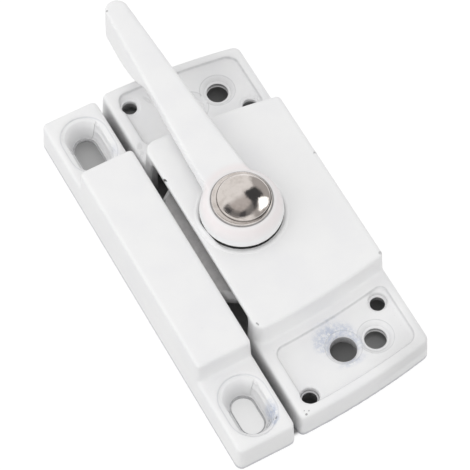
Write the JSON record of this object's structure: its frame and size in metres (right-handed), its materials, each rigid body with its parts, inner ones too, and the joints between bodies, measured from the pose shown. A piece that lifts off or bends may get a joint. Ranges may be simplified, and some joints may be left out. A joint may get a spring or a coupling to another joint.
{
  "type": "sliding window lock",
  "caption": "Cast sliding-window lock: a turning lever on a domed rivet swings a bevelled cam from its housing under the block of a slotted keeper beside it.",
  "frame": {"origin": "where the lever's pivot axis meets the mounting plane under the housing", "axes": "+Z out of the mounting plane along the pivot axis, +Y along the length of the housing towards the lever's tip when locked, -X from the housing across to the keeper"},
  "size_m": [0.043, 0.0932, 0.0203],
  "materials": {
    "lock_housing": "white satin powder coat on a zinc casting",
    "keeper": "white satin powder coat on a zinc casting",
    "lever_handle": "white satin powder coat on a zinc casting",
    "pivot_rivet": "bright nickel plate",
    "hub_washer": "black moulded washer",
    "pivot_bush": "turned",
    "locking_cam": "grey zinc plate",
    "index_plate": "zinc plate",
    "spring_washer": "spring steel",
    "backing_washer": "zinc plate",
    "stop_pin": "turned steel",
    "detent_spring": "blued spring steel",
    "spring_rivets": "zinc plate"
  },
  "bodies": {
    "base": {"lock_housing": "lock_housing", "keeper": "keeper", "hub_washer": "hub_washer", "pivot_bush": "pivot_bush", "stop_pin": "stop_pin", "detent_spring": "detent_spring", "spring_rivets": "spring_rivets"},
    "lever": {"lever_handle": "lever_handle", "pivot_rivet": "pivot_rivet", "locking_cam": "locking_cam", "index_plate": "index_plate", "spring_washer": "spring_washer", "backing_washer": "backing_washer"}
  },
  "joints": [
    {"name": "lever_pivot", "type": "hinge", "parent": "base", "child": "lever", "pos_m": [0, 0, 0], "axis": [0, 0, 1], "range_deg": [-180, 0]}
  ]
}
